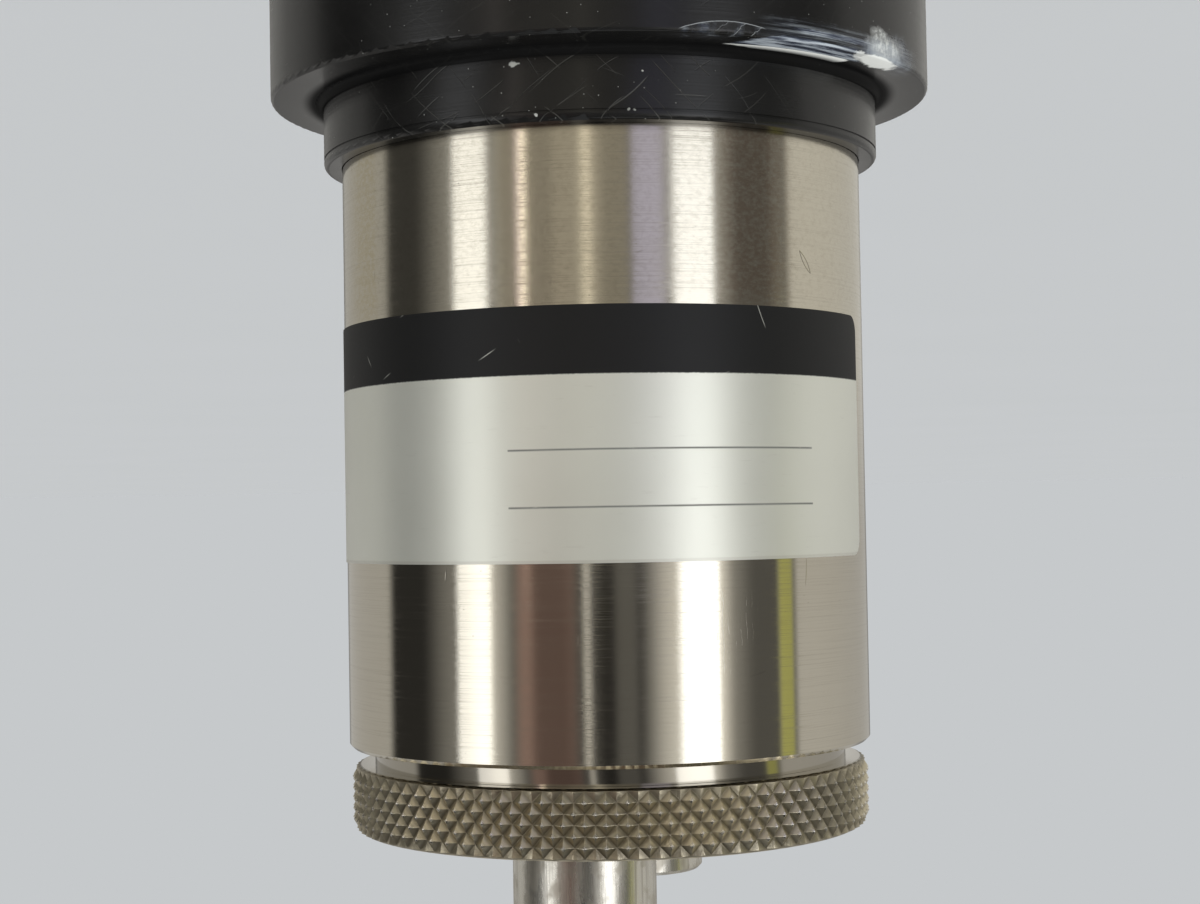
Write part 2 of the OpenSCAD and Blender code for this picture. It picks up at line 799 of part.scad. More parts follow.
module hv_insulator() {
  core = contact_d / 2 + seat;
  nose_r = insulator_d / 2;
  color("#e6ded0")
  at_jack(1) rotate_extrude() polygon([
    [core, -shank_len - insulator_tail], [nose_r, -shank_len - insulator_tail],
    [nose_r, hv_len], [nose_r - hv_nose_wall, hv_len],
    [nose_r - hv_nose_wall, hv_len - hv_inset], [core, hv_len - hv_inset]
  ]);
}

module contact(top) {
  bottom = -shank_len - insulator_tail - contact_tail;
  color("#d2b45a")
  difference() {
    translate([0, 0, bottom]) cylinder(d = contact_d, h = top - bottom);
    translate([0, 0, top - contact_hole_depth])
      cylinder(d = contact_hole_d, h = contact_hole_depth + cut);
  }
}

module signal_contact() {
  at_jack(0) contact(jack_len - signal_inset);
}

module hv_contact() {
  at_jack(1) contact(hv_len - hv_inset);
}

module tag_washer() {
  color("#cfc6a0")
  difference() {
    union() {
      cylinder(d = shank_d + 2 * washer_wall, h = washer_t);
      translate([-tag_w / 2, 0, 0]) cube([tag_w, tag_reach, washer_t]);
    }
    translate([0, 0, -cut]) cylinder(d = shank_d + 2 * slip, h = washer_t + 2 * cut);
  }
}

module signal_tag_washer() {
  at_jack(0) translate([0, 0, washer_z - recess_z]) tag_washer();
}

module hv_tag_washer() {
  at_jack(1) translate([0, 0, washer_z - recess_z]) tag_washer();
}

module hex_nut() {
  color("#c4c0b4")
  difference() {
    rotate([0, 0, 30]) cylinder(d = nut_af / cos(30), h = nut_t, $fn = 6);
    translate([0, 0, -cut]) cylinder(d = shank_d + 2 * seat, h = nut_t + 2 * cut);
  }
}

module signal_nut() {
  at_jack(0) translate([0, 0, nut_z - recess_z]) hex_nut();
}

module hv_nut() {
  at_jack(1) translate([0, 0, nut_z - recess_z]) hex_nut();
}

function bezier(p, t) =
  pow(1 - t, 3) * p[0] + 3 * t * pow(1 - t, 2) * p[1] + 3 * t * t * (1 - t) * p[2] + t * t * t * p[3];

function bezier_slope(p, t) =
  pow(1 - t, 2) * (p[1] - p[0]) + 2 * t * (1 - t) * (p[2] - p[1]) + t * t * (p[3] - p[2]);

function unit(v) = v / norm(v);

// Round wire that leaves its start and reaches its end along Z
module hookup_wire(start, end) {
  pull = (start.z - end.z) / 2;
  p = [start, start - [0, 0, pull], end + [0, 0, pull], end];
  sides = hookup_sides;
  steps = hookup_path_steps;
  polyhedron(
    points = [
      for (k = [0:steps])
        let (
          t = k / steps,
          along = unit(bezier_slope(p, t)),
          across = unit(cross(along, [0.3, 1, 0])),
          third = cross(along, across)
        )
        for (i = [0:sides - 1])
          bezier(p, t) + hookup_d / 2 * (across * cos(360 * i / sides) + third * sin(360 * i / sides))
    ],
    faces = [
      [for (i = [sides - 1:-1:0]) i],
      for (k = [0:steps - 1], i = [0:sides - 1])
        let (a = k * sides + i, b = k * sides + (i + 1) % sides)
        each [[a, b, b + sides], [a, b + sides, a + sides]],
      [for (i = [0:sides - 1]) steps * sides + i]
    ]
  );
}

module signal_lead() {
  color("#d8d6d0")
  rotate([0, 0, jack_turn])
    hookup_wire([jack_spread / 2, 0, jack_tail_z], [jack_spread / 2 - lead_shift, 0, board_end_z]);
}

module hv_lead() {
  color("#a8352c")
  rotate([0, 0, jack_turn])
    hookup_wire([-jack_spread / 2, 0, jack_tail_z], [lead_shift - jack_spread / 2, 0, board_end_z]);
}

module earth_lead() {
  color("#4d7a3a")
  rotate([0, 0, jack_turn])
    hookup_wire([jack_spread / 2, tag_reach - hookup_d, washer_z],
                [jack_spread / 2 - earth_shift, tag_reach - earth_cross, board_end_z]);
}

front_barrel();
window_gasket();
case_tube();
collar_seal();
id_label();
magnetic_shield();
insulating_sleeve();
rear_cap();
cap_seal();
glass_envelope();
glass_stem();
photocathode();
focus_electrode();
for (i = [1:dynode_count])
  dynode(i);
anode_grid();
support_plate_left();
support_plate_right();
support_rods();
stem_leads();
tube_base();
base_pins();
tube_socket();
socket_contacts();
divider_board();
divider_resistors();
decoupling_capacitors();
spacer_pillars();
board_screws();
signal_jack();
signal_insulator();
signal_contact();
signal_tag_washer();
signal_nut();
hv_jack();
hv_insulator();
hv_contact();
hv_tag_washer();
hv_nut();
signal_lead();
hv_lead();
earth_lead();
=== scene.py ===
import json
import math

import bmesh
import bpy
from mathutils import Matrix, Vector


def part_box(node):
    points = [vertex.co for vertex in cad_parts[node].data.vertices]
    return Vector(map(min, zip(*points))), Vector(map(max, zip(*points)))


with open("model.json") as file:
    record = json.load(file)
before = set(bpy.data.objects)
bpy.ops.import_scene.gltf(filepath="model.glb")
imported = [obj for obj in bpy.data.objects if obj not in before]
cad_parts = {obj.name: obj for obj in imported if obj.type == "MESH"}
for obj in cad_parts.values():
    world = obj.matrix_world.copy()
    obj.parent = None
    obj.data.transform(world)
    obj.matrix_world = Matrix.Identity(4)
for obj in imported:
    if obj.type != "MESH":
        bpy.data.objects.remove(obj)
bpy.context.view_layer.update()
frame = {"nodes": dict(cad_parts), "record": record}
nodes = frame["nodes"]

MM = 0.001

# Levels and radii of the case, read from the frame, in millimetres.
tube_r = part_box("case_tube")[1].x / MM
tube_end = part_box("case_tube")[1].z / MM
barrel_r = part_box("front_barrel")[1].x / MM
collar_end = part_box("front_barrel")[1].z / MM
barrel_mid = next(m for m in frame["record"]["mounts"] if m["name"] == "barrel")["pos_m"][2] / MM
step_z = 2 * barrel_mid
label_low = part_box("id_label")[0].z / MM
label_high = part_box("id_label")[1].z / MM
rim_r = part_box("rear_cap")[1].x / MM

# Smaller sizes of the case that no box in the frame gives, in millimetres.
neck_gap = 1.25
collar_step = 1.3
root_round = 0.6
knurl_depth = 0.44
rim_wall = 2.2

rim_low = tube_end + neck_gap
collar_r = tube_r + collar_step
root_r = collar_r + root_round
arc_per_degree = math.pi / 180 * tube_r

# Matte black for painted shade in creases and for dull printed ink.
painted_shade_and_ink_black = (0.006, 0.006, 0.006)


class Value:
    """A number socket of a node sheet, on which Python arithmetic adds Math nodes."""

    def __init__(self, sheet, socket):
        self.sheet = sheet
        self.socket = socket

    def math(self, operation, *others):
        return self.sheet.math(operation, self, *others)

    def flipped(self, operation, other):
        return self.sheet.math(operation, other, self)

    def __add__(self, other):
        return self.math("ADD", other)

    def __radd__(self, other):
        return self.flipped("ADD", other)

    def __sub__(self, other):
        return self.math("SUBTRACT", other)

    def __rsub__(self, other):
        return self.flipped("SUBTRACT", other)

    def __mul__(self, other):
        return self.math("MULTIPLY", other)

    def __rmul__(self, other):
        return self.flipped("MULTIPLY", other)

    def __truediv__(self, other):
        return self.math("DIVIDE", other)

    def __pow__(self, other):
        return self.math("POWER", other)

    def __abs__(self):
        return self.math("ABSOLUTE")

    def __lt__(self, other):
        return self.math("LESS_THAN", other)

    def low(self, other):
        return self.math("MINIMUM", other)

    def high(self, other):
        return self.math("MAXIMUM", other)


class NodeSheet:
    """The shader nodes of a material or of the world."""

    def __init__(self, tree):
        self.tree = tree

    def plug(self, socket, value):
        value = value.socket if isinstance(value, Value) else value
        if isinstance(value, bpy.types.NodeSocket):
            self.tree.links.new(value, socket)
        elif socket.type == "RGBA" and len(value) == 3:
            socket.default_value = (*value, 1)
        else:
            socket.default_value = value

    def add(self, kind, settings=None, **sockets):
        node = self.tree.nodes.new("ShaderNode" + kind)
        for key, value in (settings or {}).items():
            setattr(node, key, value)
        for key, value in sockets.items():
            self.plug(node.inputs[key.replace("_", " ")], value)
        return node

    def math(self, operation, *values):
        node = self.add("Math", {"operation": operation})
        for socket, value in zip(node.inputs, values):
            self.plug(socket, value)
        return Value(self, node.outputs[0])

    def mix(self, factor, first, second):
        node = self.add("Mix", {"data_type": "RGBA"})
        slots = (node.inputs[0], node.inputs[6], node.inputs[7])
        for socket, value in zip(slots, (factor, first, second)):
            self.plug(socket, value)
        return node.outputs[2]


class Paint(NodeSheet):
    """The node sheet of one material. Places are in millimetres of the row frame."""

    def __init__(self, name):
        self.material = bpy.data.materials.new(name)
        self.material.use_nodes = True
        super().__init__(self.material.node_tree)
        self.tree.nodes.clear()
        coords = self.add("TexCoord").outputs["Object"]
        scaled = self.add("VectorMath", {"operation": "SCALE"}, Vector=coords, Scale=1 / MM)
        self.place = scaled.outputs["Vector"]
        split = self.add("SeparateXYZ", Vector=self.place)
        self.x, self.y, self.z = (Value(self, split.outputs[axis]) for axis in "XYZ")

    def radius(self):
        return (self.x * self.x + self.y * self.y) ** 0.5

    def turn(self):
        """Degrees around the case: 0 on the camera's side, positive to the picture's right."""
        return (0 - self.x).math("ARCTAN2", 0 - self.y) * (180 / math.pi)

    def moved(self, stretch, offset):
        """The place, stretched and shifted for a texture to read."""
        node = self.add("VectorMath", {"operation": "MULTIPLY_ADD"})
        for socket, value in zip(node.inputs, (self.place, stretch, offset)):
            self.plug(socket, value)
        return node.outputs["Vector"]

    def soft_noise(self, vector, detail, roughness):
        node = self.add("TexNoise", Vector=vector, Scale=1.0, Detail=detail, Roughness=roughness)
        return Value(self, node.outputs["Fac"])

    def noise(self, stretch, detail=2.0, roughness=0.5, shift=0.0):
        """Noise from 0 to 1; stretch gives its cycles per millimetre along x, y and z."""
        offset = (shift, shift * 1.7, shift * 0.6)
        return self.soft_noise(self.moved(stretch, offset), detail, roughness)

    def noise_along(self, u, v=0.0, detail=2.0, roughness=0.5):
        """Noise from 0 to 1 over two measures of the surface in place of its x, y and z."""
        flat = self.add("CombineXYZ", X=u, Y=v, Z=0.0)
        return self.soft_noise(flat.outputs["Vector"], detail, roughness)

    def rise(self, value, start, end):
        """0 below start, 1 above end, smooth between; start may be the larger."""
        node = self.add("MapRange", {"interpolation_type": "SMOOTHSTEP"})
        for socket, number in zip(node.inputs[:5], (value, start, end, 0.0, 1.0)):
            self.plug(socket, number)
        return Value(self, node.outputs[0])

    def band(self, value, start, end, soft):
        return self.rise(value, start - soft, start + soft) * self.rise(value, end + soft, end - soft)

    def hump(self, value, start, top, fall, end):
        """Rises from start to top and falls again from fall to end."""
        return self.rise(value, start, top) * self.rise(value, end, fall)

    def spot(self, u, v, at, size):
        """How far a place lies from a spot's middle, 1 at the spot's edge."""
        return (((u - at[0]) / size[0]) ** 2 + ((v - at[1]) / size[1]) ** 2) ** 0.5

    def bump(self, height, depth_mm):
        """A normal from a height of 0 to 1 that stands for depth_mm."""
        node = self.add("Bump", Height=height, Strength=1.0, Distance=depth_mm * MM)
        return node.outputs["Normal"]

    def scratches(self, density, slant_deg, spacing, width, shift=0.0, wander=0.5):
        """Broken hair lines at one slant on the case unrolled flat; spacing and width in millimetres."""
        slant = math.radians(slant_deg)
        along = self.turn() * arc_per_degree + shift
        across = along * math.sin(slant) + self.z * math.cos(slant)
        drift = self.noise((0.09, 0.09, 0.09), detail=1, shift=shift + 3)
        line = abs((across / spacing + drift * wander).math("FRACT") - 0.5) * spacing
        where = self.noise((0.33, 0.33, 0.33), detail=2, shift=shift + 11)
        return self.rise(line, width, width * 0.3) * self.rise(where, 1 - density, 1.12 - density)

    def specks(self, cycles, size, shift=0.0):
        """Small round spots, scattered by a cell pattern."""
        cells = self.moved((cycles,) * 3, (shift,) * 3)
        node = self.add("TexVoronoi", Vector=cells, Scale=1.0, Randomness=1.0)
        return self.rise(Value(self, node.outputs["Distance"]), size, size * 0.5)

    def finish(self, colour, roughness, metallic=0.0, normal=None, matte_shade_and_ink=None, **constants):
        """Ends the sheet; where the matte mask is 1 the surface is matte black,
        used as painted shade in creases and as dull printed ink.
        """
        shader = self.add("BsdfPrincipled", Base_Color=colour, Roughness=roughness, Metallic=metallic)
        if normal is not None:
            self.plug(shader.inputs["Normal"], normal)
        for key, value in constants.items():
            self.plug(shader.inputs[key.replace("_", " ")], value)
        surface = shader.outputs["BSDF"]
        if matte_shade_and_ink is not None:
            matte = self.add("BsdfDiffuse", Color=painted_shade_and_ink_black)
            mixed = self.add("MixShader", Fac=matte_shade_and_ink)
            self.plug(mixed.inputs[1], surface)
            self.plug(mixed.inputs[2], matte.outputs["BSDF"])
            surface = mixed.outputs["Shader"]
        self.add("OutputMaterial", Surface=surface)
        return self.material


def dried_smear(p):
    """Masks of a swipe of white paint over the step's edge: thick paint, bluish film, the outline of
    a dried skin, and where the film is pale.

    It was swiped level, so it is laid out flat: right is millimetres across, down is millimetres along
    a slope that takes in the barrel's side and its step, and below is measured from the swipe's line.
    """
    slope = math.radians(12.7)
    tip = 7.6
    right = 0 - p.x
    down = (p.z - step_z) * math.cos(slope) + (p.y + barrel_r) * math.sin(slope)
    run = right - tip
    below = down - 0.84 - run * 0.055 - run * run * 0.01
    ragged = p.noise((1.3, 1.3, 1.3), detail=4, roughness=0.65, shift=2) - 0.5
    lumps = p.noise((2.6, 2.6, 2.6), detail=3, roughness=0.6, shift=19) - 0.5
    streak = p.noise_along(right * 0.26, below * 6.0, detail=5, roughness=0.64)

    thick = 0.36 * p.hump(right, tip - 0.4, tip + 4.0, 15.0, 16.6) + ragged * 0.16
    swipe = p.rise(below, -0.03, 0.03) * p.rise(below, thick + 0.04, thick - 0.04)
    swipe = swipe * p.hump(right + ragged * 0.8, tip, tip + 0.3, 15.9, 16.3)
    crumbs = p.rise(p.spot(right, below, (16.8, -0.38), (0.6, 0.34)) + lumps * 1.6, 1.0, 0.6)
    dense = p.rise(p.spot(right, below, (18.05, -0.3), (1.55, 0.42)) + ragged * 0.9, 1.05, 0.7)
    tuft = p.spot(right, below, (18.6, -1.4), (1.5, 0.85))
    tuft = tuft.low(p.spot(right, below, (18.1, -2.1), (0.75, 0.45)))
    dab = p.rise(tuft + ragged * 0.8 + lumps * 0.9, 1.15, 0.45)
    dab = dab * (0.22 + 0.50 * p.rise(lumps, -0.10, 0.14))
    white = swipe.high(dense * 0.92).high(dab).high(crumbs * 0.65)

    film_top = -0.75 * p.rise(right, 7.6, 12.0) + ragged * 0.25
    film = p.rise(below, film_top - 0.1, film_top + 0.08) * p.rise(below, 0.05, -0.05)
    film = film * p.hump(right, 7.8, 9.0, 16.4, 17.2) * p.rise(streak, 0.30, 0.60)
    veil = p.band(below + ragged * 0.2, -1.38, -1.03, 0.07) * p.hump(right, 11.6, 13.2, 17.2, 18.0)
    veil = veil * p.rise(streak, 0.28, 0.55) * 0.75
    mist = p.band(below + ragged * 0.5, -1.75, -0.2, 0.3) * p.hump(right, 9.5, 12.0, 18.6, 20.2)
    mist = mist * p.rise(streak, 0.30, 0.75) * 0.34
    wash = p.rise(p.spot(right, below, (18.5, -0.95), (1.9, 0.95)) + ragged * 0.7, 1.15, 0.5) * 0.75
    halo = p.rise(p.spot(right, below, (19.5, -1.1), (1.8, 1.4)) + ragged * 0.8, 1.1, 0.3) * 0.4

    skin_top = -0.5 + ((right - 7.4) ** 2) * 0.062 + ragged * 0.08
    skin = p.rise(down, skin_top - 0.02, skin_top + 0.06) * p.rise(down, 0.5, 0.38)
    skin = skin * p.band(right, 5.1, 10.1, 0.25)
    facets = p.rise(p.noise((1.3, 1.3, 0.7), detail=3, roughness=0.6, shift=31), 0.40, 0.68)
    facets = facets * (0.4 + p.rise(lumps, -0.15, 0.2)) * skin
    blue = film.high(veil).high(mist).high(halo).high(wash).high(facets * 0.26)
    edge = p.band(down, skin_top, skin_top + 0.03, 0.03) * p.band(right, 5.0, 10.2, 0.2)
    creases = p.rise(abs((right * 0.75 + down * 1.1 + ragged * 0.8).math("FRACT") - 0.5), 0.035, 0.012)
    outline = edge.high(creases * skin * p.rise(right, 7.0, 7.6) * 0.5)
    pale = p.rise(streak, 0.42, 0.62).high(wash)

    on_barrel = p.rise(p.radius(), root_r, root_r + 0.1) * p.rise(p.z, step_z + 0.15, step_z + 0.05)
    on_barrel = on_barrel * (p.y < 0)
    return (white * on_barrel).low(1), (blue * on_barrel).low(1), (outline * on_barrel).low(1), pale


def paint_flecks(p):
    """The few bits of stray paint on the collar."""
    turn = p.turn()
    ragged = p.noise((4.0, 4.0, 4.0), detail=3, shift=23) - 0.5
    flecks = 0
    for at, size in (
        ((-15.8, 70.95), (1.0, 0.22)), ((-11.6, 74.2), (0.42, 0.15)), ((5.4, 74.0), (0.36, 0.11)),
        ((6.6, 74.05), (0.36, 0.09)), ((8.0, 71.6), (0.24, 0.08)),
    ):
        fleck = p.rise(p.spot(turn, p.z, at, size) + ragged * 2.6, 1.0, 0.5)
        flecks = fleck + flecks
    return (flecks * (p.radius() < root_r - 0.05) * (p.y < 0)).low(1)


def black_acetal():
    """Turned black plastic with dust, hair scratches and a dried white smear on the step's edge."""
    p = Paint("black_acetal")
    turning = p.noise((0.05, 0.05, 9.0), detail=2)
    cloud = p.noise((0.35, 0.35, 0.35), detail=3)
    scuffed_side = p.rise(abs(p.turn() + 8), 48, 22)
    on_collar = p.rise(p.z, step_z - 0.1, step_z + 0.3) * scuffed_side
    on_step = p.band(p.z, step_z - 0.03, step_z + 0.03, 0.02)
    # Painted shade: the crease at the collar's root turns matte black, where shade falls.
    crease_shade = p.rise(p.radius(), root_r + 1.0, root_r)
    crease_shade = crease_shade * p.band(p.z, step_z - 0.03, step_z + root_round, 0.03)
    hairs = p.scratches(0.55, 38, 1.7, 0.05, wander=2.2)
    hairs = hairs + p.scratches(0.54, -43, 2.1, 0.045, shift=7, wander=2.0)
    hairs = hairs + p.scratches(0.52, 29, 2.6, 0.04, shift=29, wander=3.0)
    hairs = hairs + p.scratches(0.5, -57, 2.9, 0.035, shift=41, wander=2.6)
    hairs = hairs.low(1) * (0.15 + 0.85 * on_collar)
    dust = p.specks(1.5, 0.075) * p.rise(p.noise((0.2, 0.2, 0.2), shift=5), 0.42, 0.58)
    white, blue, outline, pale = dried_smear(p)
    flecks = paint_flecks(p)

    black = p.mix(cloud, (0.0045, 0.0045, 0.0045), (0.0095, 0.0093, 0.0088))
    scuffed = p.mix(hairs * 0.4, black, (0.09, 0.09, 0.08))
    dusty = p.mix((dust * 0.5).high(flecks * 0.8), scuffed, (0.52, 0.53, 0.49))
    film = p.mix(pale, (0.07, 0.09, 0.15), (0.50, 0.555, 0.60))
    filmed = p.mix(blue * 0.9, dusty, film)
    outlined = p.mix(outline * 0.8, filmed, (0.50, 0.53, 0.54))
    colour = p.mix(white * 0.97, outlined, (0.89, 0.91, 0.87))
    roughness = 0.17 + 0.08 * cloud + 0.08 * turning - 0.05 * on_step + 0.35 * white.high(blue * 0.3)
    height = turning * 0.3 - hairs * 0.5 + white * 2.4 + blue * 0.7 + outline * 0.9 + flecks * 2.0
    normal = p.bump(height, 0.018)
    # The crease's painted shade is the matte black mixed in here.
    return p.finish(colour, roughness, normal=normal, matte_shade_and_ink=crease_shade * 0.9, Specular_IOR_Level=0.42)


def leaf_nick(p, turn_at, z_at):
    """A leaf-shaped nick nearly two millimetres long, of which only the outline shows."""
    lean = math.radians(38)
    half_long, half_wide = 0.9, 0.17
    across = (p.turn() - turn_at) * arc_per_degree
    rise = p.z - z_at
    along = (across * math.sin(lean) + rise * math.cos(lean)) / half_long
    aside = across * math.cos(lean) - rise * math.sin(lean)
    side = abs(aside) - half_wide * (1 - along * along)
    return p.band(side, -0.025, 0.02, 0.02) * p.rise(abs(along), 1.05, 0.95) * (p.y < 0)


def turned_steel():
    """Bright steel with the lines of the lathe running around it, duller and stained near the collar."""
    p = Paint("turned_steel")
    turn = p.turn()
    arc = turn * arc_per_degree
    hair = p.noise((0.10, 0.10, 15.0), detail=3, roughness=0.7)
    wide = p.noise((0.03, 0.03, 4.0), detail=3, shift=4)
    cloud = p.noise((0.16, 0.16, 0.10), detail=4, roughness=0.6, shift=8)
    mottle = p.noise((2.2, 2.2, 3.6), detail=4, roughness=0.7, shift=15)
    near_collar = p.rise(p.z, label_low + 1.5, label_low - 1.5)
    score = p.rise(hair, 0.46, 0.74)
    pits = p.specks(1.6, 0.06, shift=3) * p.rise(p.noise((0.3, 0.3, 0.3), shift=6), 0.48, 0.6)
    knocks = p.scratches(0.37, 82, 5.0, 0.045, shift=13) + p.scratches(0.36, 12, 3.4, 0.045, shift=21)
    upright = abs((arc * 2.3 + p.noise((0.4, 0.4, 0.7), shift=33)).math("FRACT") - 0.5)
    rubbed_patch = p.hump(turn, 19, 23, 28, 33) * p.hump(p.z, 103.5, 105, 108, 110)
    scuffs = p.rise(upright, 0.045, 0.015) * rubbed_patch
    scuffs = scuffs * p.rise(p.noise((1.2, 1.2, 0.5), shift=37), 0.46, 0.56)
    nick = leaf_nick(p, turn_at=46.4, z_at=82.9)
    rust = near_collar * p.hump(turn, 22, 29, 35, 44) * p.rise(mottle, 0.25, 0.62)
    sallow = near_collar * p.hump(turn, -72, -62, -57, -53) * p.rise(mottle, 0.3, 0.6)
    # Darker within 0.7 mm of the collar's end.
    by_collar_end = p.rise(p.z, collar_end + 0.7, collar_end)

    bright = p.mix(cloud, (0.60, 0.555, 0.455), (0.655, 0.62, 0.53))
    lined = p.mix(score * 0.22, bright, (0.36, 0.33, 0.27))
    dulled = p.mix(near_collar * p.rise(mottle, 0.42, 0.75) * 0.3, lined, (0.42, 0.38, 0.30))
    stained = p.mix(rust * 0.5, dulled, (0.36, 0.23, 0.16))
    yellowed = p.mix(sallow * 0.35, stained, (0.55, 0.46, 0.24))
    marks = (pits * 0.7).high(knocks * 0.45).high(nick * 0.8).low(1)
    knocked = p.mix(marks, yellowed, (0.13, 0.11, 0.09))
    rubbed = p.mix(scuffs * 0.55, knocked, (0.80, 0.77, 0.68))
    colour = p.mix(by_collar_end * 0.4, rubbed, (0.16, 0.14, 0.11))
    roughness = 0.07 + 0.12 * score + 0.03 * wide + near_collar * 0.10 * mottle + 0.3 * scuffs
    height = hair * 0.6 + wide * 0.2 + near_collar * mottle * 0.2
    height = height - knocks * 0.8 - pits * 0.6 - nick * 1.5
    normal = p.bump(height, 0.004)
    return p.finish(
        colour, roughness, metallic=1.0, normal=normal, Anisotropic=0.6, Anisotropic_Rotation=0.25
    )


def label_foil():
    """Satin foil with a black printed band and two ruled lines for entries."""
    p = Paint("label_foil")
    band_h = 4.35
    rule_w, first_rule, second_rule = 0.1, 9.0, 12.6
    rule_left, rule_right = -6.2, 15.0
    label_h = label_high - label_low
    arc = p.turn() * arc_per_degree
    height = p.z - label_low
    grain = p.noise((6.0, 6.0, 6.0), detail=2)
    sheen = p.noise((0.12, 0.12, 0.12), detail=3, shift=5)
    rub = p.noise((0.5, 0.5, 3.0), detail=4, roughness=0.65, shift=9)
    ink_edge = (grain - 0.5) * 0.06
    header = p.rise(height + ink_edge, band_h + 0.05, band_h - 0.05)
    rows = p.band(height, first_rule, first_rule + rule_w, 0.05)
    rows = rows + p.band(height, second_rule, second_rule + rule_w, 0.05)
    rules = rows * p.band(arc, rule_left, rule_right, 0.05) * p.rise(rub, 0.22, 0.40)
    border = p.rise(height, 0.25, 0.15) + p.rise(height, label_h - 0.25, label_h - 0.15)
    scuff = p.scratches(0.38, 25, 2.7, 0.05, shift=4) + p.scratches(0.38, -62, 3.8, 0.05, shift=17)
    ink = (header * (1 - scuff * 0.6)).high(rules * 0.7).low(1)
    foil = p.mix(sheen, (0.71, 0.71, 0.625), (0.775, 0.78, 0.70))
    soil = (border * 0.25 + p.rise(rub, 0.6, 0.8) * 0.16).low(1)
    soiled = p.mix(soil, foil, (0.40, 0.37, 0.31))
    colour = p.mix(ink, soiled, (0.012, 0.012, 0.012))
    roughness = 0.30 + 0.06 * grain + 0.05 * sheen + ink * 0.1
    metallic = 0.6 - ink * 0.6
    relief = grain * 0.5 + ink * 0.8 - scuff * 0.6
    normal = p.bump(relief, 0.004)
    return p.finish(colour, roughness, metallic=metallic, normal=normal, matte_shade_and_ink=ink * 0.45)


def knurled_metal():
    """Dull plated metal, dirty in the knurl's valleys, dirty and darkened by painted shade in the
    recess, rubbed bright on the knurl's points, and polished on the neck, whose darker colour is painted
    shade."""
    p = Paint("knurled_metal")
    radius = p.radius()
    valley_r = rim_r - knurl_depth
    on_knurl = p.rise(radius, valley_r - 0.12, valley_r - 0.02)
    tip = p.rise(radius, rim_r - 0.17, rim_r - 0.03) * on_knurl
    valley = p.rise(radius, rim_r - knurl_depth * 0.5, valley_r) * on_knurl
    mottle = p.noise((0.9, 0.9, 0.9), detail=4, roughness=0.65)
    grit = p.noise((9.0, 9.0, 9.0), detail=2, shift=5)
    burrs = p.noise((3.2, 3.2, 3.2), detail=3, roughness=0.6, shift=17)
    turning = p.noise((0.08, 0.08, 14.0), detail=2, shift=8)
    rings = p.noise_along(radius * 4.0)
    outside = p.rise(radius, rim_r - rim_wall, rim_r - rim_wall + 0.2)
    neck = p.rise(p.z, rim_low + 0.1, rim_low + 0.03) * (1 - on_knurl) * outside
    # Dirt and painted shade: the recess darkens, most towards its corner at the rim's wall.
    in_recess = p.rise(p.z, rim_low + 3.6, rim_low + 1.0) * (1 - outside)
    recess_dirt_and_shade = in_recess * (0.25 + 0.5 * p.rise(radius + mottle, rim_r - 4.6, rim_r - rim_wall))
    dull = p.mix(mottle, (0.55, 0.49, 0.355), (0.68, 0.62, 0.47))
    soiled = p.mix((valley * (0.25 + 0.5 * mottle)).low(1), dull, (0.07, 0.058, 0.04))
    rubbed = p.mix((tip * (0.45 + 0.8 * grit)).low(1), soiled, (0.88, 0.85, 0.78))
    # The recess's dirt and painted shade are mixed in here.
    dirtied_and_shaded = p.mix(recess_dirt_and_shade, rubbed, (0.15, 0.128, 0.09))
    # Painted shade: the neck's colour is darker than the plate, for the shade between the rim and the
    # tube.
    colour = p.mix(neck, dirtied_and_shaded, (0.44, 0.41, 0.345))
    roughness = (0.23 + 0.14 * mottle + 0.10 * valley - 0.09 * tip) * (1 - neck) + neck * 0.10
    height = grit * 0.6 + mottle * 0.4 + burrs * on_knurl * 4.0 + rings * (1 - on_knurl) * 1.2
    normal = p.bump(height * (1 - neck) + turning * neck * 0.12, 0.012)
    return p.finish(colour, roughness, metallic=1.0, normal=normal)


def worn_nickel():
    """Nickel plate rubbed dull along the connector, with brown thin spots and dark streaks."""
    p = Paint("worn_nickel")
    rub = p.noise((2.2, 2.2, 0.22), detail=4, roughness=0.65)
    streak = p.rise(p.noise((3.2, 3.2, 0.10), detail=3, roughness=0.6, shift=12), 0.48, 0.66)
    spots = p.rise(p.noise((0.8, 0.8, 0.8), detail=4, shift=6), 0.48, 0.66)
    fine = p.noise((9.0, 9.0, 0.8), detail=2, shift=2)
    dents = p.noise((0.9, 0.9, 0.6), detail=3, roughness=0.6, shift=25)
    plate = p.mix(rub, (0.62, 0.60, 0.53), (0.82, 0.79, 0.71))
    streaked = p.mix(streak * 0.35, plate, (0.26, 0.23, 0.19))
    colour = p.mix(spots * 0.35, streaked, (0.36, 0.31, 0.22))
    roughness = 0.18 + 0.16 * rub + 0.12 * spots + 0.08 * streak
    height = fine * 0.4 + rub * 0.4 + dents * 1.9
    return p.finish(colour, roughness, metallic=1.0, normal=p.bump(height, 0.007))


def plain_metal(name, dark, light, roughness, grain):
    """Clean sheet or turned metal with a light grain."""
    p = Paint(name)
    tone = p.noise((grain, grain, grain * 0.5), detail=3)
    fine = p.noise((7.0, 7.0, 7.0), detail=2, shift=4)
    return p.finish(
        p.mix(tone, dark, light), roughness + 0.12 * tone, metallic=1.0, normal=p.bump(fine, 0.004)
    )


